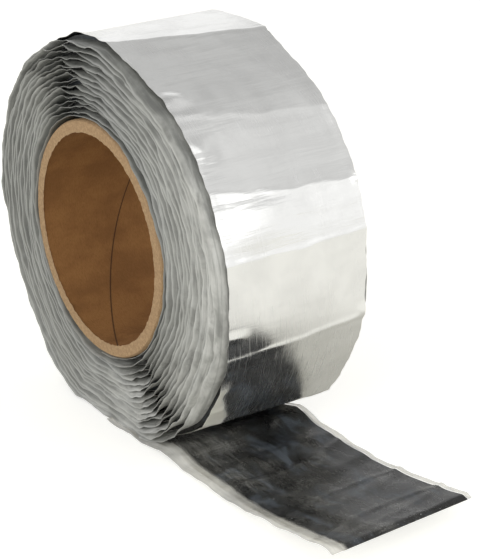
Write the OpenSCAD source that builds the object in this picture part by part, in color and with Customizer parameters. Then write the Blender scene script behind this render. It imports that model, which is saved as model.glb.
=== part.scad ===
/* [Core] */
// Bore of the cardboard core, the common 3 inch size
core_bore_d = 76.2; // [40:0.1:152.4]
// Wall of the cardboard core
core_wall = 4.05; // [2:0.05:8]
// How far the core stands out of the film at the near end
core_near_proud = 2; // [0:0.1:4]
// How far the core stops short of the film at the far end
core_far_recess = 1.2; // [0:0.1:4]

/* [Tape] */
// Width of the butyl layer
butyl_w = 50; // [25:1:100]
// Thickness of the butyl layer
butyl_t = 1.4; // [0.8:0.1:3]
// How far the aluminium facing reaches past the butyl on each side
foil_margin = 2; // [0.5:0.1:4]
// Thickness of the aluminium facing
foil_t = 0.08; // [0.05:0.01:0.3]

/* [Release film] */
// Free edge of the film past the facing at the near end
near_flap = 4.4; // [1:0.1:8]
// Free edge of the film past the facing at the far end
far_flap = 0.8; // [0.4:0.1:8]
// Thickness of the film
film_t = 0.1; // [0.05:0.01:0.3]
// How far the free near edge ruffles out of line
near_ruffle = 1.1; // [0.2:0.1:1.2]
// How far the free far edge ruffles out of line
far_ruffle = 0.6; // [0.2:0.1:1.2]
// How far the film wanders sideways on the last turn
wander = 1.5; // [0:0.1:1.8]

/* [Winding] */
// Whole turns on the core, from the start of the tape to the tail
turns = 16; // [4:1:24]
// Gap between turns where the roll's weight presses them together
nip_gap = 0.02; // [0.01:0.01:0.1]
// Further gap between turns at the sides of the roll
side_slack = 0.32; // [0.02:0.01:0.6]
// Further gap between turns at the top of the roll, which sags a little
top_slack = 0.12; // [0.02:0.01:0.6]
// How much looser the turns lie on the tail's side than on the other
lean_slack = 0.07; // [0:0.01:0.1]

/* [Tail] */
// Length of the unrolled tail, past the end of the roll's flat foot
tail_len = 108.5; // [90:0.5:200]
// Height of the low hump where the tail peels off the roll
hump_h = 2.2; // [0:0.1:2.4]
// Half the length of that hump
hump_reach = 12; // [10:1:16]
// Length of the last stretch, which curls up from the floor
curl_len = 54; // [30:1:56]
// Height of the curl at the cut end
curl_h = 8; // [0:0.5:16]

/* [Hidden] */

// Straight runs in each turn, and their angle
turn_steps = 36;
step_angle = 360 / turn_steps;
wound_steps = turns * turn_steps;
// Straight runs in the tail: under the roll's foot, then past it
foot_steps = 4;
open_steps = 18;
tail_steps = foot_steps + open_steps;
// Overlap of one cut past another
cut = 1;

// Widths of the layers, and their places along the core's axis
foil_w = butyl_w + 2 * foil_margin;
film_w = foil_w + near_flap + far_flap;
core_len = film_w + core_near_proud - core_far_recess;
film_near_y = core_near_proud - core_len / 2;
film_far_y = film_near_y + film_w;
foil_near_y = film_near_y + near_flap;
foil_far_y = foil_near_y + foil_w;
butyl_near_y = foil_near_y + foil_margin;

// Depths in the tape, from the film's inner face outwards
film_out = film_t;
butyl_out = film_out + butyl_t;
stack_t = butyl_out + foil_t;

// The first turn lies on the core, clear of it at the middle of each straight run
core_r = core_bore_d / 2 + core_wall;
start_r = core_r / cos(step_angle / 2) + nip_gap;
nip_pitch = stack_t + nip_gap;
floor_z = -(start_r + turns * nip_pitch + stack_t);

// A place on the tape is a step number: 0 is the start, at the foot of the first turn
function turn_at(i) = i / turn_steps;
function angle_at(i) = i * step_angle - 90;

// The flat foot of the turn above the tail, where the tail peels off, and the tail's cut end
foot_turn = turns - 1;
foot_side_r = start_r + foot_turn * (nip_pitch + side_slack) + stack_t;
foot_drop = start_r + foot_turn * nip_pitch + stack_t;
foot_reach = sqrt(pow(foot_side_r, 2) - pow(foot_drop, 2));
hump_x = foot_reach + hump_reach;
tail_reach = foot_reach + tail_len;

// Growth of the radius in each turn: widest at the sides, less at the top
function pitch_at(angle) =
    nip_pitch + lean_slack * cos(angle)
    + (sin(angle) > 0 ? top_slack + (side_slack - top_slack) * pow(cos(angle), 2) : side_slack);

// Radius of a face of the wound tape, held flat where the roll rests on its foot
function round_r(i, depth) = start_r + turn_at(i) * pitch_at(angle_at(i)) + depth;
function foot_drop_at(i, depth) = start_r + round(turn_at(i)) * nip_pitch + depth;
function wound_r(i, depth) =
    let (downwards = -sin(angle_at(i)))
        downwards > 0.1
        ? min(round_r(i, depth), foot_drop_at(i, depth) / downwards)
        : round_r(i, depth);

// Height of the tail's underside over the floor
function hump_at(x) =
    abs(x - hump_x) < hump_reach ? hump_h * pow(cos(90 * (x - hump_x) / hump_reach), 2) : 0;
function curl_at(x) =
    x > tail_reach - curl_len ? curl_h * pow((x - tail_reach + curl_len) / curl_len, 1.5) : 0;

// A point [x, z] on the tape at a step and a depth: the turns first, then the tail
function wound_point(i, depth) = wound_r(i, depth) * [cos(angle_at(i)), sin(angle_at(i))];
function tail_x(i) =
    let (step = i - wound_steps)
        step < foot_steps
        ? step * foot_reach / foot_steps
        : foot_reach + (step - foot_steps) * tail_len / open_steps;
function tail_point(i, depth) =
    [tail_x(i), floor_z + hump_at(tail_x(i)) + curl_at(tail_x(i)) + stack_t - depth];
function tape_point(i, depth) = i > wound_steps ? tail_point(i, depth) : wound_point(i, depth);
last_step = wound_steps + tail_steps;

// One layer of the tape, wound and unrolled, as one straight extrusion along the core's axis
module layer(inner, outer, near_y, width) {
    inner_line = [for (i = [0 : last_step]) tape_point(i, inner)];
    outer_line = [for (i = [last_step : -1 : 0]) tape_point(i, outer)];
    translate([0, near_y + width, 0])
        rotate([90, 0, 0])
            linear_extrude(height = width)
                polygon(concat(inner_line, outer_line));
}

// Waves of the film's free edges in each turn: a short wave on a long one
short_waves = 11.3;
long_waves = 6.7;
near_phase = 40;
far_phase = 130;
// Lean of a free edge, always outwards, so that it clears the turn beneath
function lean_at(i, ruffle, phase) =
    ruffle * (0.5
        + 0.3 * sin(short_waves * angle_at(i) + phase)
        + 0.2 * sin(long_waves * angle_at(i) + 2 * phase));
// Sideways wander, widest low on the tail's side of the last turn
wander_peak = wound_steps - turn_steps * 7 / 8;
wander_reach = turn_steps / 3;
function wander_at(i) =
    abs(i - wander_peak) < wander_reach
    ? wander * pow(cos(90 * (i - wander_peak) / wander_reach), 2)
    : 0;

// The eight corners of the film's section at a step: inner face, then outer face
function film_corner(i, y, depth, lean) =
    let (p = tape_point(i, depth + lean)) [p[0], y + wander_at(i), p[1]];
function film_section(i) =
    let (near = lean_at(i, near_ruffle, near_phase), far = lean_at(i, far_ruffle, far_phase)) [
        film_corner(i, film_near_y, 0, near),
        film_corner(i, foil_near_y, 0, 0),
        film_corner(i, foil_far_y, 0, 0),
        film_corner(i, film_far_y, 0, far),
        film_corner(i, film_far_y, film_out, far),
        film_corner(i, foil_far_y, film_out, 0),
        film_corner(i, foil_near_y, film_out, 0),
        film_corner(i, film_near_y, film_out, near)
    ];

module core() {
    color([0.66, 0.49, 0.33])
        rotate([90, 0, 0])
            difference() {
                cylinder(h = core_len, r = core_r, center = true, $fn = 96);
                cylinder(h = core_len + 2 * cut, d = core_bore_d, center = true, $fn = 96);
            }
}

module butyl_tape() {
    color([0.08, 0.08, 0.09])
        layer(film_out, butyl_out, butyl_near_y, butyl_w);
}

module foil_facing() {
    color([0.78, 0.79, 0.8])
        layer(butyl_out, stack_t, foil_near_y, foil_w);
}

// Both faces of the film are cut along the same diagonals, so that it keeps its thickness where
// it twists: a corner of the inner face lies under the matching corner of the outer face
module release_liner() {
    corners = 8;
    inner_corners = 4;
    side_faces = [
        for (i = [0 : last_step - 1], c = [0 : corners - 1])
            let (a = i * corners + c, b = i * corners + (c + 1) % corners)
                each c < inner_corners
                    ? [[a, b, b + corners], [a, b + corners, a + corners]]
                    : [[a, b, a + corners], [b, b + corners, a + corners]]
    ];
    section_parts = [[0, 1, 6], [0, 6, 7], [1, 2, 5], [1, 5, 6], [2, 3, 4], [2, 4, 5]];
    last = last_step * corners;
    start_faces = [for (f = section_parts) [f[0], f[2], f[1]]];
    end_faces = [for (f = section_parts) [f[0] + last, f[1] + last, f[2] + last]];
    color([0.66, 0.68, 0.7])
        polyhedron(
            points = [for (i = [0 : last_step]) each film_section(i)],
            faces = concat(side_faces, start_faces, end_faces),
            convexity = 20
        );
}

core();
butyl_tape();
foil_facing();
release_liner();
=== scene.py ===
"""Roll of foil-faced butyl tape on a cardboard core, with a short tail unrolled on the floor.

Lengths are in millimetres until a mesh, a lamp or the camera is made, where MM turns them into
metres. A place on the tape is a turn number: 0 at the start of the tape, 16 at the foot, and the
tail beyond.
"""
import math

import bpy
import numpy as np
from mathutils import Matrix, Vector


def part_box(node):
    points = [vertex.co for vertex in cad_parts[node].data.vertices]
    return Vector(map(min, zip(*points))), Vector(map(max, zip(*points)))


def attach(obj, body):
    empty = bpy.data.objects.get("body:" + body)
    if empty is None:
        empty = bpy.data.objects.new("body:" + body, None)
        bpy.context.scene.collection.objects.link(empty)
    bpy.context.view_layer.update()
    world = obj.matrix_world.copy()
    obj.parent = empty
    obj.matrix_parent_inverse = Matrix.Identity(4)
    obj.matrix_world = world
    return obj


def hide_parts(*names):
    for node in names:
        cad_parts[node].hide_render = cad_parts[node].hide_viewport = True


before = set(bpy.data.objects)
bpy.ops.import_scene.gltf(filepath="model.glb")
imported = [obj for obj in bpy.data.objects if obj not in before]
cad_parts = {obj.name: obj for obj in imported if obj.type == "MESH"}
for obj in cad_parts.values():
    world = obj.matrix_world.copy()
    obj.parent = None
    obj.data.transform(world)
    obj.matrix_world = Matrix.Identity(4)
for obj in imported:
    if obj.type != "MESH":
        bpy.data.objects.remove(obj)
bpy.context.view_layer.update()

MM = 0.001

# Tape layers, from the film's inner face outwards
FILM_T = 0.1
BUTYL_T = 1.4
FOIL_T = 0.08
BUTYL_OUT = FILM_T + BUTYL_T
STACK_T = BUTYL_OUT + FOIL_T

# Winding
TURNS = 16
NIP_GAP = 0.02
NIP_PITCH = STACK_T + NIP_GAP
SIDE_SLACK = 0.32
TOP_SLACK = 0.12
LEAN_SLACK = 0.07
CAD_STEP = math.radians(10)

# Points round the core; rows of points in each turn of the butyl and the inner foil, of the outer
# foil, and of the film; and rows in the tail's butyl and foil
CORE_SPOKES = 360
LAYER_ROWS = 72
FOIL_ROWS = 640
FILM_ROWS = 216
BUTYL_TAIL_ROWS = 150
FOIL_TAIL_ROWS = 60

# The core, the floor and the tape's edges, as the frame has them, and the core's own bore
core_low, core_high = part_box("core")
butyl_low, butyl_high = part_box("butyl_tape")
foil_low, foil_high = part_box("foil_facing")
CORE_R = (core_high.x - core_low.x) / 2 / MM
CORE_NEAR_Y = core_low.y / MM
CORE_FAR_Y = core_high.y / MM
CORE_BORE_R = 38.1
FLOOR_Z = foil_low.z / MM
TAIL_END = foil_high.x / MM
BUTYL_NEAR_Y, BUTYL_FAR_Y = butyl_low.y / MM, butyl_high.y / MM
FOIL_NEAR_Y, FOIL_FAR_Y = foil_low.y / MM, foil_high.y / MM
START_R = CORE_R / math.cos(CAD_STEP / 2) + NIP_GAP

# Tail: its low hump, its curl, and how far and over what length the cut has pinched its end
HUMP_H = 2.2
HUMP_REACH = 12
CURL_LEN = 54
CURL_H = 8
PINCH = 0.72
PINCH_REACH = 2.5
FOOT_SIDE_R = START_R + (TURNS - 1) * (NIP_PITCH + SIDE_SLACK) + STACK_T
FOOT_DROP = START_R + (TURNS - 1) * NIP_PITCH + STACK_T
HUMP_X = math.sqrt(FOOT_SIDE_R ** 2 - FOOT_DROP ** 2) + HUMP_REACH

# The core's seam in the bore: degrees and mm where it starts, and mm along the axis for each degree
SEAM_START = (174, 6.9)
SEAM_SLOPE = 0.321

# Creases across the outer turns: degrees at the near and the far edge, how flat the tape lies from
# each to the next, where 4.5 is a straight run, and how far the crease strays, in degrees
CREASES = [
    (-90, -90, 1.4, 0),
    (-46, -47, 1.6, 0.4),
    (-17.5, -13, 1.8, 0.3),
    (9, 10, 2.6, 0.4),
    (28, 23, 3.2, 0.6),
    (50, 44, 3.2, 0.6),
    (86, 77, 2.2, 0.3),
    (108, 104, 1.3, 0),
    (138, 138, 1.3, 0),
    (170, 170, 1.3, 0),
    (196, 196, 1.3, 0),
    (238, 238, 1.3, 0),
    (270, 270, 0, 0),
]
STRAY_WAVES = [(1.3, 0.7), (2.9, 0.45), (6.1, 0.2)]

# Degrees between two creases that the flatness is given for, and how far the last turn stands out
# past its round line, in mm at angles round the roll
CREASE_SPAN = 40
CREASE_PEAK = [(-90, 0), (-60, 0.35), (50, 0.35), (85, -0.2), (110, -0.2), (150, 0.1), (270, 0)]

# Creases across the tail: place, reach, height and how far each bows at the edges, in mm
TAIL_CREASES = [
    (44, 3.0, 0.35, 3),
    (58, 4.0, 0.3, -2),
    (71, 2.5, 0.4, 4),
    (83, 5.0, 0.3, 2),
    (95, 2.2, 0.35, -3),
    (104, 4.0, 0.25, 3),
    (117, 2.4, 0.4, -4),
    (126, 3.0, 0.3, 2),
]
TAIL_ROUGHNESS = 0.8
MARGIN_REACH = 6.9
MARGIN_HEIGHT = [(0, -1.0), (45, -0.9), (70, 0.1), (90, 1.0), (112, 1.3), (124, 0.9), (136, -0.8)]

# Waves of the outer foil: waves per degree and per mm, with their heights
FOIL_LONG_WAVES = [(0.031, 0.6), (0.073, 0.45), (0.14, 0.15), (0.29, 0.04)]
FOIL_CROSS_WAVES = [(0.025, 0.6), (0.055, 0.4), (0.12, 0.12), (0.26, 0.03)]

# The film's free edges on the wound tape
NEAR_FLAP = 5.5
FAR_FLAP = 0.8
FLAP_GAP = 0.14
NEAR_WAVES = [
    (1 / 61, 0.3), (1 / 37, 0.32), (1 / 23, 0.28), (1 / 14, 0.24), (1 / 8.3, 0.14), (1 / 5.1, 0.07),
]
FAR_WAVES = [(1 / 41, 0.12), (1 / 19, 0.1), (1 / 9, 0.08)]

# How far the near edges are folded outwards, in degrees at angles round the roll: inwards on the
# tail's side, upright where the fold changes over, and looser there
FOLD = [
    (-90, 84), (-75, 70), (-61, 44), (-51, 0), (-42, -48), (-28, -72), (0, -88), (60, -86),
    (82, -52), (112, 4), (132, 60), (155, 92), (180, 96), (230, 92), (252, 86), (270, 80),
]
LOOSE = [
    (-90, 0.15), (-75, 0.4), (-60, 0.75), (-44, 0.6), (-28, 0.4), (0, 0.25), (62, 0.25),
    (85, 0.6), (105, 0.9), (120, 0.8), (145, 0.25), (180, 0), (240, 0.05), (270, 0.15),
]

# How far the last turn's edge has crept along the axis, in mm at angles round the roll
CREEP = [
    (-90, 0), (-60, 0.6), (-30, 0), (0, -0.7), (30, -1.2),
    (60, -1.2), (75, 0.2), (90, 0.6), (115, 0), (270, 0),
]

# How much light is painted onto the near free edges, at angles round the roll: a painted highlight on
# the tail's side, and painted light against the shade in the gaps by the foot
PAINTED_LIGHT = [
    (-90, 0.6), (-60, 0.8), (-30, 0.85), (0, 1), (25, 0.9),
    (50, 0.4), (75, 0), (200, 0), (240, 0.3), (270, 0.6),
]

# The last turn's outline at its near free edge, as radii in mm at angles round the roll
OUTLINE = [
    (-90, 70.2), (90, 71.5), (100, 71.3), (115, 70.8), (125, 71.2), (131, 72.3), (140, 72.9),
    (145, 71.4), (150, 71.3), (156, 72.1), (165, 72.3), (170, 73.1), (175, 71.9), (180, 72.5),
    (190, 74.1), (196, 74.2), (205, 73.3), (212, 73.1), (220, 72), (228, 71.4), (235, 72.2),
    (241, 72.5), (246, 73.6), (250, 72.6), (255, 70.6), (262, 69.4), (270, 69.2),
]
LAST_FLAP = 4.2

# The photograph's camera: place in mm, azimuth, elevation and roll in degrees, and lens in mm
CAMERA_AT = (589.01, -362.69, 262.85)
CAMERA_AIM = (56.36, 22.42, -0.79)
CAMERA_LENS = 135.14

# The room: how bright it is at heights from the level (0) to overhead (1); each window's or dark
# screen's direction, how much it adds, and the cosines from its middle where it begins and is full;
# the floor's colour and glow; each lamp's direction, distance and size in metres, and power
WORLD_STOPS = [
    (0.0, 1.0), (0.38, 1.0), (0.46, 0.68), (0.56, 0.66), (0.68, 0.76),
    (0.76, 0.78), (0.81, 0.66), (0.87, 0.6), (1.0, 0.56),
]
WINDOWS = [
    ((0.9, 0.2, 0.37), 0.75, 0.935, 0.985),
    ((0.42, 0.26, 0.87), 0.7, 0.975, 0.993),
    ((-0.45, 0.5, 0.74), -0.17, 0.93, 0.99),
]
FLOOR_TONE = (0.7, 0.69, 0.63, 1)
FLOOR_GLOW_SEEN = 0.6
FLOOR_GLOW_MIRRORED = 0.38
FLOOR_GLOW_REACH = (0.11, 0.2)
LAMPS = [
    ("front", (0.5, -0.8, 0.35), 1.0, 0.45, 2.2),
    ("side", (0.9, 0.25, 0.3), 1.2, 0.3, 0.3),
]

# Edges of the outer turn's foil, in mm along the axis, at angles round the roll
NEAR_EDGE = [
    (-90, -21.5), (-50, -20.8), (-36, -22.4), (-16, -23.7), (10, -25), (30, -25.7),
    (60, -26.1), (84, -25.6), (98, -24.2), (106, -23.2), (270, -23.2),
]
FAR_EDGE = [
    (-90, 31.5), (-40, 32.2), (-22, 31.6), (-14, 30.4), (6, 30.1), (14, 31),
    (43, 30.5), (60, 30.5), (90, 30.4), (180, 30.4), (270, 30.4),
]

# Ridges, and hollows below 0, across the whole outer foil: degrees at the near and the far edge,
# reach in degrees, height, and how far the line strays, in degrees
RIDGES = [
    (94, 85, 3.0, 0.1, 0.3),
    (86, 77, 1.6, 0.12, 0.3),
    (77, 69, 5.0, -0.1, 0.5),
    (63, 58, 5.0, 0.08, 0.5),
    (50, 44, 6.0, -0.38, 0.6),
    (35, 31, 5.0, -0.2, 0.6),
    (27.5, 24, 2.2, 0.16, 0.6),
    (20, 16, 3.0, -0.1, 0.5),
    (9.5, 10.5, 1.3, 0.16, 0.4),
    (3, 5, 3.0, -0.1, 0.5),
    (-17.5, -14, 1.4, 0.34, 0.3),
    (-24, -20, 4.0, -0.2, 0.3),
    (-46, -47, 2.4, 0.3, 0.4),
]
RELIEF_BASE = 0.26

# How far the low part of the outer foil leans, as metres of height for each mm across the tape
FOIL_TAPER = 0.00004

# Puckers of the outer foil: angle, place along the axis, reach round the roll and along the axis,
# and height
PUCKERS = [
    (56, -23, 4.5, 8, 1.2),
    (50, -19, 2, 12, 0.25),
    (39, -22, 6, 8, 1.1),
    (33, -22, 2, 7, 0.3),
    (-10, -21, 2.2, 6, 0.6),
    (-28, -20, 3, 5, 0.5),
    (-38, -18, 2.5, 6, 0.5),
    (-47, -14, 2.5, 7, 0.45),
    (-12, 31, 2.6, 4, 0.9),
    (24, 31, 2, 3, 0.5),
    (-21, -8, 1.4, 12, 0.22),
    (19, -9, 11, 22, 0.9),
    (-4, 8, 4, 12, 0.12),
    (58, 12, 7, 18, 0.18),
]


def wave_sum(x, waves, seed):
    """A smooth random line: one sine per (waves per unit, height), with a seeded phase each."""
    phases = np.random.RandomState(seed).uniform(0, 2 * math.pi, len(waves))
    total = np.zeros_like(np.asarray(x, float))
    for (rate, height), phase in zip(waves, phases):
        total += height * np.sin(2 * math.pi * rate * x + phase)
    return total


def smooth_step(x, low, high):
    s = np.clip((np.asarray(x, float) - low) / (high - low), 0, 1)
    return s * s * (3 - 2 * s)


def bump(x, centre, reach):
    """1 at the centre, 0 beyond the reach, smooth between."""
    s = np.clip(np.abs(np.asarray(x, float) - centre) / reach, 0, 1)
    return np.cos(s * math.pi / 2) ** 2


def place_angle(turn):
    """Angle round the core in radians: the foot of each turn is straight down."""
    return (turn - 0.25) * 2 * math.pi


def around(turn):
    """Degrees round the roll at a turn number, from -90 at the foot to 270."""
    return np.mod(np.asarray(turn, float) * 360, 360) - 90


def facet_drop(degrees, over):
    """How far a creased turn lies inside a round one, at degrees and at a share across the width."""
    degrees, over = np.broadcast_arrays(degrees, over)
    drop = np.zeros(degrees.shape)
    stray = wave_sum(over, STRAY_WAVES, 57)
    for (near_a, far_a, flat, wild_a), (near_b, far_b, _, wild_b) in zip(CREASES, CREASES[1:]):
        low = near_a + (far_a - near_a) * over + wild_a * stray
        span = near_b + (far_b - near_b) * over + wild_b * stray - low
        share = (degrees - low) / span
        inside = (share >= 0) & (share < 1)
        drop += np.where(inside, flat * (span / CREASE_SPAN) ** 2 * 4 * share * (1 - share), 0)
    return drop - along_core(CREASE_PEAK, degrees)


def wound_radius(turn, depth, over=0.5):
    """Radius of a face of the wound tape at a turn number and a depth from the film's inner face."""
    turn = np.asarray(turn, float)
    angle = place_angle(turn)
    sine, cosine = np.sin(angle), np.cos(angle)
    upper = TOP_SLACK + (SIDE_SLACK - TOP_SLACK) * cosine ** 2
    pitch = NIP_PITCH + LEAN_SLACK * cosine + np.where(sine > 0, upper, SIDE_SLACK)
    free_r = START_R + turn * pitch + depth - facet_drop(around(turn), over) * (turn / TURNS) ** 2
    foot_r = (START_R + np.round(turn) * NIP_PITCH + depth) / np.maximum(-sine, 0.1)
    return np.where(sine < -0.1, np.minimum(free_r, foot_r), free_r)


def wound_points(turn, depth, over=0.5, lift=0.0):
    """x and z of the wound tape, lifted outwards by a further distance."""
    angle = place_angle(np.asarray(turn, float))
    r = wound_radius(turn, depth, over) + lift
    return r * np.cos(angle), r * np.sin(angle)


def tail_rise(x):
    """Height of the tail's underside over the floor: the low hump, then the curl."""
    hump = HUMP_H * bump(x, HUMP_X, HUMP_REACH)
    curl = CURL_H * np.clip((x - TAIL_END + CURL_LEN) / CURL_LEN, 0, 1) ** 1.5
    return hump + curl


def tail_points(x, depth, lift=0.0):
    """x and z of the tail: its outward side is underneath, and the cut has pinched its end."""
    thinned = 1 - PINCH * smooth_step(x, TAIL_END - PINCH_REACH, TAIL_END)
    return x, FLOOR_Z + tail_rise(x) + (STACK_T - depth) * thinned - lift


def closed_sheet(name, inner, outer, fields):
    """A mesh of two faces, each a grid of points along and across the tape, closed round its rim.

    fields gives each point its values: three columns for a vector, none for a plain number.
    """
    rows, cols = inner.shape[:2]
    count = rows * cols
    at = np.arange(count).reshape(rows, cols)
    a, b, c, d = at[:-1, :-1], at[1:, :-1], at[1:, 1:], at[:-1, 1:]

    def quads(*corners):
        return np.stack([np.asarray(k).ravel() for k in corners], axis=1)

    faces = np.concatenate([
        quads(a, b, c, d),
        quads(a, d, c, b) + count,
        quads(at[:-1, 0], at[:-1, 0] + count, at[1:, 0] + count, at[1:, 0]),
        quads(at[:-1, -1], at[1:, -1], at[1:, -1] + count, at[:-1, -1] + count),
        quads(at[0, :-1], at[0, 1:], at[0, 1:] + count, at[0, :-1] + count),
        quads(at[-1, :-1], at[-1, :-1] + count, at[-1, 1:] + count, at[-1, 1:]),
    ])
    points = np.concatenate([inner.reshape(-1, 3), outer.reshape(-1, 3)]) * MM
    mesh = bpy.data.meshes.new(name)
    mesh.from_pydata(points.tolist(), [], faces.tolist())
    for field, values in fields.items():
        flat = np.asarray(values, float)
        vector = flat.ndim == 3
        flat = flat.reshape(count, -1)
        kind, key = ("FLOAT_VECTOR", "vector") if vector else ("FLOAT", "value")
        made = mesh.attributes.new(field, kind, "POINT")
        made.data.foreach_set(key, np.concatenate([flat, flat]).ravel().astype(np.float32))
    mesh.shade_smooth()
    mesh.set_sharp_from_angle(angle=math.radians(50))
    piece = bpy.data.objects.new(name, mesh)
    bpy.context.scene.collection.objects.link(piece)
    return piece


def grid(x, y, z):
    """One array of points from x, y and z, each spread to the same grid."""
    x, y, z = np.broadcast_arrays(x, y, z)
    return np.stack([x, y, z], axis=-1)


def tape_field(length, across):
    """Place on the flat tape in mm, for the materials: along it and across it."""
    along, over = np.broadcast_arrays(length, across)
    return np.stack([along, over, np.zeros_like(along)], axis=-1)


def run_length(x, z):
    """Length along a line of points, from its first."""
    return np.concatenate([[0], np.cumsum(np.hypot(np.diff(x), np.diff(z)))])


def finish_piece(piece, node, material):
    piece.data.materials.append(material)
    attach(piece, "root")
    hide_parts(node)
    return piece


def along_core(table, degrees):
    """A place along the axis that changes round the roll, read between the table's angles."""
    angles, places = zip(*table)
    return np.interp(degrees, angles, places)


def clear_of_foot(degrees):
    """1 round the roll, falling to 0 where it rests on its foot."""
    return smooth_step(degrees, -72, -55) * (1 - smooth_step(degrees, 235, 252))


def build_core(material):
    """A tube with a rough cut at each end and the seam of its wound strips in the bore."""
    angle = np.radians(np.linspace(15, 375, CORE_SPOKES, endpoint=False))[:, None]
    degrees = np.degrees(angle)
    bore = [(CORE_BORE_R, y) for y in np.linspace(CORE_NEAR_Y + 0.5, CORE_FAR_Y - 0.35, 60)]
    far_end = [(r, CORE_FAR_Y) for r in np.linspace(CORE_BORE_R + 0.3, CORE_R - 0.25, 8)]
    outside = [(CORE_R, y) for y in np.linspace(CORE_FAR_Y - 0.35, CORE_NEAR_Y + 0.9, 12)]
    near_end = [(r, CORE_NEAR_Y) for r in np.linspace(CORE_R - 0.6, CORE_BORE_R - 0.1, 12)]
    profile = np.array(bore + far_end + outside + near_end)
    r = profile[None, :, 0] + np.zeros_like(angle)
    y = profile[None, :, 1] + np.zeros_like(angle)

    # The cut ends are a little ragged, and the rim is dented here and there
    ragged = 0.12 * np.abs(wave_sum(degrees, [(0.03, 0.6), (0.11, 0.5), (0.31, 0.4)], 3)) + 0.03
    plies = 0.05 * np.sin(r * 2 * math.pi / 0.8)
    at_near = np.abs(y - CORE_NEAR_Y) < 0.01
    at_far = np.abs(y - CORE_FAR_Y) < 0.01
    y = y + np.where(at_near, ragged + 0.05 + plies, 0) - np.where(at_far, ragged + 0.05 + plies, 0)
    in_bore = (r < CORE_BORE_R + 0.05) & ~at_near

    # Torn fibres narrow the near rim, and more so low on the left
    torn = 0.2 + 0.22 * np.abs(wave_sum(degrees, [(0.05, 0.8), (0.13, 0.7), (0.33, 0.6)], 4))
    frayed = 0.5 + 0.5 * wave_sum(degrees, [(0.09, 0.7), (0.21, 0.6)], 6)
    torn = torn + 0.35 * bump(degrees, 235, 45) * frayed
    at_rim = bump(r, CORE_BORE_R - 0.1, 1.2)
    r = r - np.where(at_near, torn * at_rim, 0)
    r = r + np.where(in_bore, 0.05 * wave_sum(degrees, [(0.008, 1), (0.02, 0.6)], 5), 0)

    # The seam runs as a straight helix: distance from it in mm, positive on the upper strip's side
    seam_y = SEAM_START[1] - SEAM_SLOPE * (degrees - SEAM_START[0])
    seam = np.clip((y - seam_y) * 0.9, -6, 6)
    overlap = 0.14 * smooth_step(seam, -0.25, 0.05) * (1 - smooth_step(seam, 0.2, 5.5))
    r = r + np.where(in_bore, overlap, 0)

    points = np.stack([r * np.cos(angle), y, r * np.sin(angle)], axis=-1)
    cols = len(profile)
    at = np.arange(CORE_SPOKES * cols).reshape(CORE_SPOKES, cols)
    a, b = at, np.roll(at, -1, axis=0)
    c, d = np.roll(b, -1, axis=1), np.roll(a, -1, axis=1)
    faces = np.stack([k.ravel() for k in (a, d, c, b)], axis=1)
    mesh = bpy.data.meshes.new("core_tube")
    mesh.from_pydata((points.reshape(-1, 3) * MM).tolist(), [], faces.tolist())
    for field, values in {"seam": seam, "cut_end": np.where(in_bore, 0.0, 1.0)}.items():
        made = mesh.attributes.new(field, "FLOAT", "POINT")
        made.data.foreach_set("value", values.ravel().astype(np.float32))
    mesh.shade_smooth()
    mesh.set_sharp_from_angle(angle=math.radians(40))
    piece = bpy.data.objects.new("core_tube", mesh)
    bpy.context.scene.collection.objects.link(piece)
    return finish_piece(piece, "core", material)


def tail_end_shift(x, y):
    """The tail's end is cut a little askew: how far its points move along x."""
    share = (y - FOIL_NEAR_Y) / (FOIL_FAR_Y - FOIL_NEAR_Y)
    return smooth_step(x, 60, TAIL_END) * (0.6 - 3.6 * share)


def tail_wrinkle(x, y):
    """Height of the butyl's creases and dents on the tail."""
    slant = x + 0.12 * y
    creases = sum(height * bump(slant + bow * (y / 25) ** 2, place, reach)
                  for place, reach, height, bow in TAIL_CREASES)
    swell = wave_sum(x + 0.3 * y, [(0.021, 0.16), (0.047, 0.1), (0.09, 0.05)], 21)
    swell = swell + wave_sum(y - 0.2 * x, [(0.034, 0.14), (0.071, 0.08), (0.13, 0.04)], 22)
    return smooth_step(x, 20, 40) * (creases + swell) * TAIL_ROUGHNESS


def tape_rows(per_turn, first=0, last=TURNS):
    """Turn numbers along the wound tape, as a column."""
    return np.linspace(first, last, (last - first) * per_turn + 1)[:, None]


def tail_rows(count):
    """Places along the tail, past the foot's middle, as a column."""
    return np.linspace(0, TAIL_END, count + 1)[1:, None]


def layer_points(turn, x, y_wound, y_tail, depth, over, lift=0.0, rise=0.0):
    """Points of a face of one layer, wound and then unrolled."""
    wx, wz = wound_points(turn, depth, over, lift)
    wound = grid(wx, y_wound, wz)
    tx, tz = tail_points(x, depth)
    tail = grid(tx + tail_end_shift(x, y_tail), y_tail, tz + rise)
    return np.concatenate([wound, tail])


def row_lengths(turn, x):
    """Length along the tape at each row of the wound part and of the tail, as a column."""
    wx, wz = wound_points(turn, 0)
    tx, tz = tail_points(x, 0)
    return run_length(np.concatenate([wx, tx])[:, 0], np.concatenate([wz, tz])[:, 0])[:, None]


def build_butyl(material):
    turn, x = tape_rows(LAYER_ROWS), tail_rows(BUTYL_TAIL_ROWS)
    over = np.linspace(0, 1, 30)[None, :]
    y = BUTYL_NEAR_Y + (BUTYL_FAR_Y - BUTYL_NEAR_Y) * over
    length = row_lengths(turn, x)

    # The soft edge bulges between the film and the foil, and is cut a little unevenly
    edge = 0.5 * wave_sum(length, [(0.013, 0.7), (0.041, 0.5), (0.11, 0.3)], 31)
    near = edge * np.clip(1 - over * 8, 0, 1)
    count = len(turn)
    y_wound, y_tail = y + near[:count], y + near[count:] * 0.8
    rise = tail_wrinkle(x, y)
    across = (over - 0.5) * 0.96 + 0.5
    inner = layer_points(turn, x, y_wound, y_tail, FILM_T, across, 0.0, rise)
    outer = layer_points(turn, x, y_wound, y_tail, BUTYL_OUT, across)
    piece = closed_sheet("butyl_layer", inner, outer, {"flat": tape_field(length, y)})
    return finish_piece(piece, "butyl_tape", material)


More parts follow.
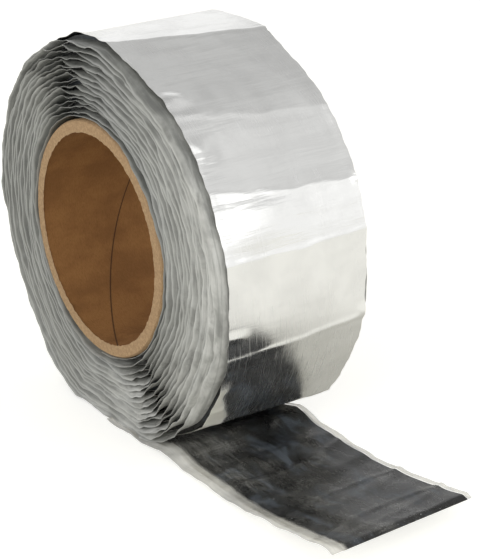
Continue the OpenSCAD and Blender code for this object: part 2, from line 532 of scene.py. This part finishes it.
def build_inner_foil(material):
    turn = tape_rows(LAYER_ROWS, 0, TURNS - 1)
    over = np.linspace(0, 1, 5)[None, :]
    wx, wz = wound_points(turn, 0)
    length = run_length(wx[:, 0], wz[:, 0])[:, None]
    uneven = 0.4 * wave_sum(length, [(0.017, 0.7), (0.05, 0.4)], 41) * (1 - 2 * over)
    y = FOIL_NEAR_Y + (FOIL_FAR_Y - FOIL_NEAR_Y) * over + uneven
    inner = grid(*insert_y(wound_points(turn, BUTYL_OUT, over), y))
    outer = grid(*insert_y(wound_points(turn, STACK_T, over), y))
    fields = {"flat": tape_field(length, y), "painted_reflection": 0 * y}
    piece = closed_sheet("foil_inner_turns", inner, outer, fields)
    return finish_piece(piece, "foil_facing", material)


def insert_y(x_and_z, y):
    return x_and_z[0], y, x_and_z[1]


def foil_relief(degrees, y, from_near, from_far):
    """How far the outer foil stands off the butyl: soft waves, puckers and lifted edges."""
    uneven = 0.6 + 0.4 * np.sin(np.radians(degrees * 3))
    waves = wave_sum(degrees + 0.1 * y, FOIL_LONG_WAVES, 51)
    waves = waves + wave_sum(y + 0.3 * degrees, FOIL_CROSS_WAVES, 52) * uneven
    base = RELIEF_BASE * clear_of_foot(degrees) * (1 - smooth_step(degrees, 70, 88))
    relief = base + 0.05 + 0.035 * waves
    share = (y - FOIL_NEAR_Y) / (FOIL_FAR_Y - FOIL_NEAR_Y)
    stray = wave_sum(share, STRAY_WAVES, 57)
    for near_a, far_a, reach, height, wild in RIDGES:
        line = near_a + (far_a - near_a) * share + wild * stray
        relief = relief + height * bump(degrees, line, reach)
    for angle, place, reach, width, height in PUCKERS:
        relief = relief + height * bump(degrees, angle, reach) * bump(y, place, width)
    near_waves = 0.5 + 0.5 * np.sin(wave_sum(degrees, [(0.022, 2.4), (0.05, 1.2)], 53))
    buckles = 0.2 + 0.9 * smooth_step(degrees, 78, 92) * (1 - smooth_step(degrees, 122, 136))
    relief = relief + near_waves * buckles * (1 - smooth_step(from_near, 0, 6)) ** 1.5
    far_waves = 0.5 + 0.5 * np.sin(wave_sum(degrees, [(0.02, 2.2), (0.06, 1)], 54))
    relief = relief + 0.2 * far_waves * (1 - smooth_step(from_far, 0, 5)) ** 1.5
    return np.maximum(relief, 0.02) * clear_of_foot(degrees)


def build_outer_foil(material):
    turn, x = tape_rows(FOIL_ROWS, TURNS - 1, TURNS), tail_rows(FOIL_TAIL_ROWS)
    over = np.linspace(0, 1, 60)[None, :]
    degrees = around(turn)
    degrees[-1] = 270
    near_cut = wave_sum(degrees, [(0.03, 0.8), (0.09, 0.6), (0.21, 0.35)], 55)
    far_cut = wave_sum(degrees, [(0.04, 0.8), (0.1, 0.6), (0.24, 0.35)], 56)
    near_y = along_core(NEAR_EDGE, degrees) + 0.25 * near_cut
    far_y = along_core(FAR_EDGE, degrees) + 0.25 * far_cut
    y_wound = near_y + (far_y - near_y) * over
    tail_near = near_y[-1] + (FOIL_NEAR_Y - near_y[-1]) * smooth_step(x, 0, 30)
    tail_far = far_y[-1] + (FOIL_FAR_Y - far_y[-1]) * smooth_step(x, 0, 30)
    y_tail = tail_near + (tail_far - tail_near) * over
    lift = foil_relief(degrees, y_wound, y_wound - near_y, far_y - y_wound)
    share = (y_wound - FOIL_NEAR_Y) / (FOIL_FAR_Y - FOIL_NEAR_Y)
    inner = layer_points(turn, x, y_wound, y_tail, BUTYL_OUT, share, lift)
    outer = layer_points(turn, x, y_wound, y_tail, STACK_T, share, lift)
    length = row_lengths(turn, x)
    flat = tape_field(length, np.concatenate([y_wound, y_tail]))
    # A dull cream patch by the near edge, low on the tail's side: a painted reflection of the bright
    # floor
    uneven = wave_sum(degrees, [(0.05, 1), (0.12, 0.5)], 58)
    painted_reflection_reach = 4 + 5 * bump(degrees, -46, 18) + 0.7 * uneven
    painted_reflection_share = smooth_step(degrees, -66, -60) * (1 - smooth_step(degrees, -30, -24))
    painted_reflection_share = painted_reflection_share * (1 - smooth_step(y_wound - near_y, painted_reflection_reach - 2, painted_reflection_reach))
    painted_reflection = np.concatenate([painted_reflection_share, 0 * y_tail])
    piece = closed_sheet("foil_outer_turn", inner, outer, {"flat": flat, "painted_reflection": painted_reflection})
    return finish_piece(piece, "foil_facing", material)


def flap_reach(fold, share, flap):
    """How far a free edge has gone along the axis, at a share of its width, where it bends by fold."""
    return flap * share * np.sinc(fold * share / math.pi)


def flap_lift(fold, share, flap):
    """How far it has gone outwards there, or inwards where the fold is below 0."""
    return flap * share * np.sinc(fold * share / 2 / math.pi) * np.sin(fold * share / 2)


def fold_for_lift(lift, flap):
    """The fold whose tip goes outwards by a distance."""
    folds = np.radians(np.arange(-96, 97))
    return np.interp(lift, flap_lift(folds, 1, flap), folds)


def fold_limits(flap, pitch):
    """Folds of two flaps, one turn apart, that don't cross.

    Gives the folds tried, the most that the inner flap may have for each fold of the outer one,
    and the least that the outer flap may have for each fold of the inner one.
    """
    folds = np.radians(np.arange(-96, 97, 3))
    shares = np.linspace(0, 1, 30)
    clear = np.zeros((len(folds), len(folds)), bool)
    for i, inner in enumerate(folds):
        inner_reach, inner_lift = flap_reach(inner, shares, flap), flap_lift(inner, shares, flap)
        for j, outer in enumerate(folds):
            outer_reach, outer_lift = flap_reach(outer, shares, flap), flap_lift(outer, shares, flap)
            top = int(np.argmax(outer_reach)) + 1
            above = pitch - FLAP_GAP + np.interp(inner_reach, outer_reach[:top], outer_lift[:top])
            both = inner_reach <= outer_reach[:top].max()
            top = int(np.argmax(inner_reach)) + 1
            beneath = FLAP_GAP - pitch + np.interp(outer_reach, inner_reach[:top], inner_lift[:top])
            shared = outer_reach <= inner_reach[:top].max()
            inner_clears = np.all(inner_lift[both] <= above[both])
            outer_clears = np.all(outer_lift[shared] >= beneath[shared])
            clear[i, j] = inner_clears and outer_clears
    most_inner = [folds[ok].max() if ok.any() else folds[0] for ok in clear.T]
    least_outer = [folds[ok].min() if ok.any() else folds[-1] for ok in clear]
    return folds, np.array(most_inner), np.array(least_outer)


def near_folds(turn, run):
    """How far the near free edge is folded over at each row, in radians, and its width."""
    degrees = around(turn)[:, 0]
    turn = turn[:, 0]
    flap = NEAR_FLAP + wave_sum(run, [(0.006, 0.45), (0.019, 0.36), (0.05, 0.22), (0.13, 0.12)], 63)
    flap = flap + 0.7 * (1 - smooth_step(turn, 0.2, 2.0))
    last = smooth_step(turn, TURNS - 1.02, TURNS - 0.98) * smooth_step(degrees, 100, 122)
    flap = flap + (LAST_FLAP - NEAR_FLAP) * last
    loose = along_core(LOOSE, degrees)
    waves = wave_sum(run, NEAR_WAVES, 61)
    fold = np.radians(along_core(FOLD, degrees) + waves * (8 + 32 * loose))
    by_core = smooth_step(turn, -0.2, 3.6)
    fold = fold * by_core + np.radians(3) * (1 - by_core)

    # On the far side from the tail, the last turn's edge reaches the outline that the roll has
    lift = along_core(OUTLINE, degrees) - wound_radius(turn, 0) + 0.2 * waves
    outline = fold_for_lift(np.clip(lift, -0.3, 2.9), LAST_FLAP)
    fold = np.clip(fold * (1 - last) + outline * last, np.radians(-95), np.radians(95))

    # Outward folds give way to the turn outside them, then every fold clears the turn inside it
    folds, most_inner, least_outer = fold_limits(NEAR_FLAP, NIP_PITCH + 0.12)
    for row in range(len(fold) - FILM_ROWS - 1, -1, -1):
        if fold[row] > 0 and fold[row + FILM_ROWS] > 0:
            fold[row] = min(fold[row], np.interp(fold[row + FILM_ROWS], folds, most_inner))
    for row in range(FILM_ROWS, len(fold)):
        fold[row] = max(fold[row], np.interp(fold[row - FILM_ROWS], folds, least_outer))
    return fold[:, None], flap[:, None]


def far_leans(base, run):
    """How far the far free edge leans outwards, never nearer than a gap to the edge beneath."""
    tips = base + np.maximum(0.1 + wave_sum(run, FAR_WAVES, 62), 0)
    for start in range(FILM_ROWS, len(tips), FILM_ROWS):
        rows = slice(start, min(start + FILM_ROWS, len(tips)))
        beneath = tips[start - FILM_ROWS:rows.stop - FILM_ROWS]
        tips[rows] = np.maximum(tips[rows], beneath + FLAP_GAP)
    return (tips - base)[:, None]


def build_wound_film(material):
    turn = tape_rows(FILM_ROWS)
    wx, wz = wound_points(turn, 0)
    run = run_length(wx[:, 0], wz[:, 0])
    fold, flap = near_folds(turn, run)
    far = far_leans(wound_radius(turn, 0)[:, 0], run)
    far_cut = wave_sum(run, [(0.012, 0.7), (0.04, 0.5), (0.11, 0.4)], 64)[:, None]
    far_reach = FAR_FLAP + 0.3 + 0.3 * far_cut
    crept = smooth_step(turn, TURNS - 1.01, TURNS - 0.95)
    shift = 1.2 * bump(turn, TURNS - 0.875, 0.33) + along_core(CREEP, around(turn)) * crept
    near_share = np.array([1, 0.87, 0.73, 0.58, 0.43, 0.28, 0.14, 0])[None, :]
    middle = np.array([0.33, 0.67])[None, :] + 0 * turn
    far_share = np.array([0, 0.5, 1])[None, :]
    y = np.concatenate([
        FOIL_NEAR_Y + shift - flap_reach(fold, near_share, flap),
        FOIL_NEAR_Y + shift + middle * (FOIL_FAR_Y - FOIL_NEAR_Y),
        FOIL_FAR_Y + shift + far_share * far_reach,
    ], axis=1)
    lift = np.concatenate([flap_lift(fold, near_share, flap), 0 * middle, far * far_share], axis=1)
    free = np.concatenate([near_share + 0 * turn, 0 * middle, far_share + 0 * turn], axis=1)
    over = np.clip((y - FOIL_NEAR_Y) / (FOIL_FAR_Y - FOIL_NEAR_Y), 0, 1)

    # The second face lies a film's thickness further along the flap's own normal
    tilt = np.concatenate([fold * near_share, 0 * middle, 0 * far * far_share], axis=1)
    faces = []
    for depth in (0, FILM_T):
        px, pz = wound_points(turn, 0, over, lift + depth * np.cos(tilt))
        z = np.maximum(pz, FLOOR_Z + 0.1 + FILM_T - depth)
        faces.append(grid(px, y + depth * np.sin(tilt), z))
    across = np.concatenate([FOIL_NEAR_Y - near_share * flap, y[:, near_share.size:]], axis=1)
    degrees = around(turn)
    # Painted light on the free edges, more on the outer turns and by the foot
    outwards = 0.25 + 0.75 * smooth_step(turn, 3, TURNS)
    outwards = outwards + (1 - outwards) * bump(degrees, -70, 40)
    painted_light = along_core(PAINTED_LIGHT, degrees) * outwards + 0 * free
    fields = {"flat": tape_field(run[:, None], across), "free": free, "painted_light": painted_light}
    piece = closed_sheet("film_wound", faces[0], faces[1], fields)
    return finish_piece(piece, "release_liner", material)


def build_tail_film(material):
    rows, near_cols, mid_cols, far_cols = 190, 16, 36, 5
    x = np.linspace(0, TAIL_END + 0.2, rows)[:, None]
    near_share = np.linspace(1, 0, near_cols + 1)[None, :-1]
    far_share = np.linspace(0, 1, far_cols + 1)[None, 1:]
    near_cut = wave_sum(x, [(0.011, 0.35), (0.03, 0.25), (0.07, 0.1), (0.16, 0.05)], 71)
    near_reach = MARGIN_REACH + near_cut
    far_reach = 2.2 + wave_sum(x, [(0.02, 0.2), (0.06, 0.12), (0.15, 0.06)], 72)
    y = np.concatenate([
        BUTYL_NEAR_Y - near_share * near_reach,
        np.linspace(BUTYL_NEAR_Y, BUTYL_FAR_Y, mid_cols)[None, :] + 0 * x,
        BUTYL_FAR_Y + far_share * far_reach,
    ], axis=1)
    free = np.concatenate([near_share, np.zeros((1, mid_cols)), far_share], axis=1) + 0 * x

    # The near margin sinks towards the floor past the foil, in soft folds that widen to its edge
    over_edge = smooth_step(FOIL_NEAR_Y - y, -1.5, 4)
    margin = over_edge * along_core(MARGIN_HEIGHT, x)
    slant = x + 0.5 * (y - FOIL_NEAR_Y)
    folds = wave_sum(slant, [(0.028, 0.45), (0.06, 0.25), (0.11, 0.1), (0.2, 0.04)], 73)
    folds = folds * smooth_step(BUTYL_NEAR_Y - y, 0, 5)
    rise = tail_wrinkle(x, y) * (1 - over_edge) + folds + margin
    faces = []
    for depth in (0, FILM_T):
        px, pz = tail_points(x, depth)
        z = np.maximum(pz + rise, FLOOR_Z + 0.08 + FILM_T - depth)
        faces.append(grid(px + tail_end_shift(x, y), y, z))
    wound_length = TURNS * math.pi * (START_R - FLOOR_Z)
    # Painted light on the tail's near margin by the foot, where the roll's shadow falls
    painted_light = (0.4 * bump(x, 60, 42) + 0.8 * bump(x, 30, 24)) * smooth_step(-y, -8, 20)
    fields = {"flat": tape_field(wound_length + x, y), "free": free, "painted_light": painted_light}
    piece = closed_sheet("film_tail", faces[0], faces[1], fields)
    return finish_piece(piece, "release_liner", material)


class Looks:
    """One material's nodes, with short ways to add them."""

    def __init__(self, name):
        self.material = bpy.data.materials.new(name)
        self.material.use_nodes = True
        self.tree = self.material.node_tree
        self.shader = self.tree.nodes["Principled BSDF"]
        self.output = self.tree.nodes["Material Output"]

    def add(self, kind, **settings):
        node = self.tree.nodes.new(kind)
        for key, value in settings.items():
            setattr(node, key, value)
        return node

    def feed(self, socket, value):
        """Link a socket to another's output, or set it where the value is plain."""
        if isinstance(value, bpy.types.NodeSocket):
            self.tree.links.new(value, socket)
        else:
            socket.default_value = value

    def set(self, **values):
        """Shader inputs by name, with underscores for spaces."""
        for key, value in values.items():
            self.feed(self.shader.inputs[key.replace("_", " ")], value)

    def field(self, name):
        node = self.add("ShaderNodeAttribute", attribute_name=name)
        return node.outputs["Vector"] if name == "flat" else node.outputs["Fac"]

    def place(self):
        return self.add("ShaderNodeTexCoord").outputs["Object"]

    def height(self):
        """Height over the core's axis, in metres."""
        node = self.add("ShaderNodeSeparateXYZ")
        self.feed(node.inputs["Vector"], self.place())
        return node.outputs["Z"]

    def across(self, flat):
        """Place across the tape, in mm."""
        node = self.add("ShaderNodeSeparateXYZ")
        self.feed(node.inputs["Vector"], flat)
        return node.outputs["Y"]

    def stretch(self, vector, along, across, turn=0.0):
        """The coordinates scaled, and turned first by some degrees in the tape's plane."""
        if turn:
            turned = self.add("ShaderNodeMapping", vector_type="POINT")
            self.feed(turned.inputs["Vector"], vector)
            turned.inputs["Rotation"].default_value = (0, 0, math.radians(turn))
            vector = turned.outputs["Vector"]
        node = self.add("ShaderNodeMapping", vector_type="POINT")
        self.feed(node.inputs["Vector"], vector)
        node.inputs["Scale"].default_value = (along, across, 1.0)
        return node.outputs["Vector"]

    def noise(self, vector, scale, detail=3.0, rough=0.5, twist=0.0):
        node = self.add("ShaderNodeTexNoise", noise_dimensions="3D")
        self.feed(node.inputs["Vector"], vector)
        node.inputs["Scale"].default_value = scale
        node.inputs["Detail"].default_value = detail
        node.inputs["Roughness"].default_value = rough
        node.inputs["Distortion"].default_value = twist
        return node.outputs["Fac"]

    def span(self, value, low, high, to_low=0.0, to_high=1.0):
        """The value's range from low to high, spread smoothly from to_low to to_high."""
        node = self.add("ShaderNodeMapRange", interpolation_type="SMOOTHSTEP")
        self.feed(node.inputs["Value"], value)
        limits = {"From Min": low, "From Max": high, "To Min": to_low, "To Max": to_high}
        for key, number in limits.items():
            node.inputs[key].default_value = number
        return node.outputs["Result"]

    def math(self, kind, first, second=0.0):
        node = self.add("ShaderNodeMath", operation=kind)
        self.feed(node.inputs[0], first)
        self.feed(node.inputs[1], second)
        return node.outputs["Value"]

    def mix(self, share, first, second):
        node = self.add("ShaderNodeMix", data_type="RGBA")
        self.feed(node.inputs["Factor"], share)
        self.feed(node.inputs["A"], first)
        self.feed(node.inputs["B"], second)
        return node.outputs["Result"]

    def bump(self, height, distance, strength=1.0, under=None):
        node = self.add("ShaderNodeBump")
        node.inputs["Strength"].default_value = strength
        node.inputs["Distance"].default_value = distance
        self.feed(node.inputs["Height"], height)
        if under is not None:
            self.feed(node.inputs["Normal"], under)
        return node.outputs["Normal"]


def tone(red, green, blue):
    """A colour from 0 to 255 on a screen, as the shader takes it."""
    def linear(value):
        share = value / 255
        return share / 12.92 if share <= 0.04045 else ((share + 0.055) / 1.055) ** 2.4
    return (linear(red), linear(green), linear(blue), 1.0)


def cardboard_material():
    looks = Looks("kraft_cardboard")
    place = looks.place()
    blotches = looks.noise(looks.stretch(place, 1, 0.6), 90, 4, 0.6)
    fibres = looks.noise(looks.stretch(place, 1, 3.5), 900, 5, 0.65, 0.4)
    specks = looks.noise(place, 2300, 2, 0.5)
    base = looks.mix(looks.span(blotches, 0.35, 0.65), tone(133, 92, 51), tone(152, 108, 62))
    base = looks.mix(looks.span(fibres, 0.4, 0.75, 0, 0.4), base, tone(100, 70, 36))
    base = looks.mix(looks.span(specks, 0.68, 0.76, 0, 0.5), base, tone(96, 66, 40))
    seam = looks.math("ABSOLUTE", looks.field("seam"))
    base = looks.mix(looks.span(seam, 0.1, 0.42, 0.85, 0), base, tone(58, 38, 22))
    cut_end = looks.field("cut_end")
    ends = looks.mix(looks.span(fibres, 0.35, 0.7), tone(160, 130, 96), tone(186, 156, 120))
    base = looks.mix(cut_end, base, ends)
    bumps = looks.bump(fibres, 0.00012, 0.7, looks.bump(blotches, 0.0004, 0.4))
    looks.set(Base_Color=base, Normal=bumps, Roughness=looks.span(fibres, 0.3, 0.7, 0.72, 0.9))
    looks.shader.inputs["Specular IOR Level"].default_value = 0.3
    return looks.material


def butyl_material():
    looks = Looks("black_butyl")
    flat = looks.field("flat")
    cloud = looks.noise(looks.stretch(flat, 1, 0.7), 0.035, 4, 0.6, 0.5)
    smudge = looks.noise(looks.stretch(flat, 0.5, 1.2), 0.09, 6, 0.66, 0.6)
    grain = looks.noise(flat, 2.2, 3, 0.6)
    specks = looks.noise(flat, 1.3, 2, 0.5)
    dusty = looks.math("MULTIPLY", looks.span(specks, 0.66, 0.74), looks.span(cloud, 0.45, 0.6))
    base = looks.mix(looks.span(cloud, 0.35, 0.7), tone(10, 11, 13), tone(34, 34, 33))
    base = looks.mix(looks.span(smudge, 0.5, 0.68, 0, 0.65), base, tone(88, 96, 105))
    base = looks.mix(looks.math("MULTIPLY", dusty, 0.7), base, tone(190, 192, 192))
    rough = looks.span(smudge, 0.35, 0.7, 0.22, 0.46)
    dents = looks.bump(looks.noise(flat, 0.08, 3, 0.5), 0.0006, 0.4)
    bumps = looks.bump(grain, 0.00008, 0.5, dents)
    looks.set(Base_Color=base, Roughness=rough, Normal=bumps)
    looks.shader.inputs["Specular IOR Level"].default_value = 0.3
    return looks.material


def foil_material():
    looks = Looks("aluminium_foil")
    flat = looks.field("flat")
    brushed = looks.noise(looks.stretch(flat, 0.02, 2.2), 1.6, 4, 0.7)
    fine_lines = looks.noise(looks.stretch(flat, 0.05, 2.2, turn=7), 1.0, 2, 0.5)
    long_lines = looks.noise(looks.stretch(flat, 0.03, 1.1, turn=-4), 1.0, 2, 0.5)
    fine_lines = looks.span(fine_lines, 0.57, 0.64)
    long_lines = looks.span(long_lines, 0.66, 0.72)
    scratches = looks.math("MAXIMUM", fine_lines, long_lines)
    cloud = looks.noise(flat, 0.05, 4, 0.6, 0.4)
    height = looks.height()
    upper = looks.span(height, -0.01, 0.02, 0.25, 1)
    lower = looks.span(height, -0.03, 0.0, 1, 0.35)
    low = looks.span(height, -0.045, -0.01, 1, 0)
    pleats = looks.noise(looks.stretch(flat, 0.35, 0.03), 1.0, 4, 0.6)
    pleats = looks.math("MULTIPLY", pleats, upper)
    scratches = looks.math("MULTIPLY", scratches, lower)
    rough = looks.span(cloud, 0.3, 0.7, 0.13, 0.22)
    rough = looks.math("ADD", rough, looks.span(brushed, 0.4, 0.7, 0, 0.05))
    rough = looks.math("ADD", rough, looks.math("MULTIPLY", scratches, 0.16))
    # The painted reflection: cream and less metallic, so it shows bright where the floor's glare would
    # be
    painted_reflection = looks.math("MULTIPLY", looks.field("painted_reflection"), looks.span(brushed, 0.3, 0.6, 0.75, 1))
    rough = looks.math("MAXIMUM", rough, looks.math("MULTIPLY", painted_reflection, 0.55))
    base = looks.mix(looks.span(cloud, 0.4, 0.7), tone(240, 240, 238), tone(231, 231, 229))
    base = looks.mix(painted_reflection, base, tone(240, 238, 226))
    swells = looks.noise(looks.stretch(flat, 1, 0.5), 0.07, 2, 0.4)
    bumps = looks.bump(pleats, 0.0003, 0.7)
    bumps = looks.bump(swells, 0.0005, 0.3, bumps)
    bumps = looks.bump(brushed, 0.00002, 0.4, bumps)
    bumps = looks.bump(looks.math("MULTIPLY", looks.across(flat), low), FOIL_TAPER, 1.0, bumps)
    metal = looks.math("SUBTRACT", 1.0, looks.math("MULTIPLY", painted_reflection, 0.85))
    looks.set(Base_Color=base, Roughness=rough, Normal=bumps, Metallic=metal)
    return looks.material


def film_material(name, free_alpha, bonded_alpha, dull, light, gloss):
    """Milky polythene: nearly clear where it sticks to the butyl, whiter where it is free."""
    looks = Looks(name)
    flat = looks.field("flat")
    free = looks.field("free")
    painted_light = looks.field("painted_light")
    cloud = looks.noise(flat, 0.09, 4, 0.6, 0.6)
    streaks = looks.noise(looks.stretch(flat, 0.05, 1.0), 1.0, 4, 0.65)
    bands = looks.noise(looks.stretch(flat, 0.03, 0.6), 0.8, 3, 0.6)
    rim = looks.span(free, 0.8, 1.0)
    patches = looks.noise(looks.place(), 42, 3, 0.55, 0.8)
    mottles = looks.noise(looks.stretch(flat, 0.5, 1.0), 0.14, 4, 0.6, 0.5)
    # Painted light: the film is whitened in mottles where the field paints light on it
    painted_light_mask = looks.math("MULTIPLY", painted_light, looks.span(mottles, 0.36, 0.62, 0.35, 1))
    base = looks.mix(looks.span(cloud, 0.35, 0.7), dull, light)
    base = looks.mix(painted_light_mask, base, tone(206, 206, 201))
    base = looks.mix(looks.span(patches, 0.5, 0.72, 0, 0.3), base, tone(176, 177, 172))
    base = looks.mix(looks.span(patches, 0.5, 0.3, 0, 0.3), base, tone(84, 86, 82))
    base = looks.mix(looks.span(streaks, 0.48, 0.66, 0, 0.35), base, tone(172, 173, 168))
    dark_streaks = looks.span(bands, 0.5, 0.34, 0, 0.4)
    dark_streaks = looks.math("MULTIPLY", dark_streaks, looks.span(painted_light, 0, 0.6, 0.5, 1))
    base = looks.mix(dark_streaks, base, tone(92, 94, 90))
    # A painted highlight along the film's free edges, where they would catch the light
    base = looks.mix(looks.math("MULTIPLY", rim, 0.5), base, tone(212, 213, 208))
    alpha = looks.span(free, 0.0, 0.3, bonded_alpha, free_alpha)
    hazy = looks.math("MULTIPLY", looks.span(cloud, 0.5, 0.75), 0.08)
    # The painted light also makes the film more opaque there
    painted_light_cover = looks.math("MULTIPLY", painted_light, looks.span(mottles, 0.4, 0.64, 0.06, 0.3))
    hazy = looks.math("ADD", hazy, painted_light_cover)
    crumples = looks.noise(looks.stretch(flat, 1, 0.35), 0.35, 4, 0.6, 0.5)
    wrinkles = looks.bump(streaks, 0.0003, 0.5, looks.bump(crumples, 0.0006, 0.5))
    looks.set(Base_Color=base, Alpha=looks.math("ADD", alpha, hazy), Normal=wrinkles)
    looks.shader.inputs["Roughness"].default_value = 0.44 - 0.2 * gloss
    looks.shader.inputs["Specular IOR Level"].default_value = gloss
    return looks.material


def floor_material():
    """Pale floor with the roll's shadow: white to the camera, and to gloss away from the roll."""
    looks = Looks("white_floor")
    looks.shader.inputs["Base Color"].default_value = FLOOR_TONE
    looks.shader.inputs["Roughness"].default_value = 0.9
    looks.shader.inputs["Specular IOR Level"].default_value = 0.0
    path = looks.add("ShaderNodeLightPath")
    seen = looks.math("MULTIPLY", path.outputs["Is Camera Ray"], FLOOR_GLOW_SEEN)
    reflected, passed = path.outputs["Is Glossy Ray"], path.outputs["Is Transmission Ray"]
    mirrored = looks.math("MAXIMUM", reflected, passed)
    away = looks.add("ShaderNodeVectorMath", operation="LENGTH")
    looks.feed(away.inputs["Vector"], looks.place())
    glow = looks.span(away.outputs["Value"], *FLOOR_GLOW_REACH, 0, FLOOR_GLOW_MIRRORED)
    mirrored = looks.math("MULTIPLY", mirrored, glow)
    looks.set(Emission_Strength=looks.math("ADD", seen, mirrored))
    looks.shader.inputs["Emission Color"].default_value = (1, 1, 1, 1)
    return looks.material


def build_floor():
    mesh = bpy.data.meshes.new("floor")
    half, z = 3.0, (FLOOR_Z - 0.02) * MM
    corners = [(-half, -half, z), (half, -half, z), (half, half, z), (-half, half, z)]
    mesh.from_pydata(corners, [], [(0, 1, 2, 3)])
    mesh.materials.append(floor_material())
    floor = bpy.data.objects.new("floor", mesh)
    bpy.context.scene.collection.objects.link(floor)


def build_world():
    """White room, greyer overhead, with windows and a dark screen, and plain to the camera."""
    world = bpy.data.worlds.new("studio")
    world.use_nodes = True
    bpy.context.scene.world = world
    nodes, links = world.node_tree.nodes, world.node_tree.links
    sky = nodes["Background"]
    coords = nodes.new("ShaderNodeTexCoord")
    parts = nodes.new("ShaderNodeSeparateXYZ")
    ramp = nodes.new("ShaderNodeValToRGB")
    links.new(coords.outputs["Generated"], parts.inputs["Vector"])
    links.new(parts.outputs["Z"], ramp.inputs["Fac"])
    stops = ramp.color_ramp.elements
    stops[0].position = WORLD_STOPS[0][0]
    stops[1].position = WORLD_STOPS[-1][0]
    for height, _ in WORLD_STOPS[1:-1]:
        stops.new(height)
    for stop, (_, level) in zip(stops, WORLD_STOPS):
        stop.color = (level, level, level, 1)
    light = ramp.outputs["Color"]
    for toward, level, edge, core in WINDOWS:
        window = nodes.new("ShaderNodeVectorMath")
        window.operation = "DOT_PRODUCT"
        window.inputs[1].default_value = Vector(toward).normalized()
        glow = nodes.new("ShaderNodeMapRange")
        glow.interpolation_type = "SMOOTHSTEP"
        for key, number in (("From Min", edge), ("From Max", core), ("To Max", level)):
            glow.inputs[key].default_value = number
        lit = nodes.new("ShaderNodeVectorMath")
        lit.operation = "ADD"
        links.new(coords.outputs["Generated"], window.inputs[0])
        links.new(window.outputs["Value"], glow.inputs["Value"])
        links.new(light, lit.inputs[0])
        links.new(glow.outputs["Result"], lit.inputs[1])
        light = lit.outputs["Vector"]
    links.new(light, sky.inputs["Color"])
    sky.inputs["Strength"].default_value = 1.0
    white = nodes.new("ShaderNodeBackground")
    white.inputs["Color"].default_value = (1, 1, 1, 1)
    path = nodes.new("ShaderNodeLightPath")
    choose = nodes.new("ShaderNodeMixShader")
    links.new(path.outputs["Is Camera Ray"], choose.inputs["Fac"])
    links.new(sky.outputs["Background"], choose.inputs[1])
    links.new(white.outputs["Background"], choose.inputs[2])
    links.new(choose.outputs["Shader"], nodes["World Output"].inputs["Surface"])


def build_lamp(name, toward, distance, size, power):
    """A square soft lamp that faces the roll from a direction."""
    lamp = bpy.data.lights.new(name, "AREA")
    lamp.shape = "SQUARE"
    lamp.size = size
    lamp.energy = power
    holder = bpy.data.objects.new(name, lamp)
    direction = Vector(toward).normalized()
    holder.location = direction * distance
    holder.rotation_euler = direction.to_track_quat("Z", "Y").to_euler()
    bpy.context.scene.collection.objects.link(holder)


def build_camera():
    """The photograph's camera, from its place, aim and roll round the line of sight."""
    azimuth, elevation, roll = (math.radians(angle) for angle in CAMERA_AIM)
    back = Vector((math.sin(azimuth) * math.cos(elevation),
                   -math.cos(azimuth) * math.cos(elevation),
                   math.sin(elevation)))
    level = (-back).cross(Vector((0, 0, 1))).normalized()
    upward = level.cross(-back)
    right = math.cos(roll) * level + math.sin(roll) * upward
    up = math.cos(roll) * upward - math.sin(roll) * level
    turned = Matrix((right, up, back)).transposed().to_4x4()
    data = bpy.data.cameras.new("camera")
    data.lens = CAMERA_LENS
    data.sensor_width = 36
    data.sensor_fit = "AUTO"
    data.clip_start = 0.01
    camera = bpy.data.objects.new("camera", data)
    camera.matrix_world = Matrix.Translation(Vector(CAMERA_AT) * MM) @ turned
    bpy.context.scene.collection.objects.link(camera)
    bpy.context.scene.camera = camera


build_core(cardboard_material())
build_butyl(butyl_material())
foil_look = foil_material()
build_inner_foil(foil_look)
build_outer_foil(foil_look)
build_wound_film(film_material("grey_film", 0.9, 1.0, tone(106, 107, 103), tone(130, 131, 126), 0.4))
build_tail_film(film_material("clear_film", 0.5, 0.01, tone(244, 241, 228), tone(250, 248, 239), 0.9))

build_floor()
build_world()
for lamp in LAMPS:
    build_lamp(*lamp)
build_camera()
bpy.context.scene.view_settings.view_transform = "Standard"
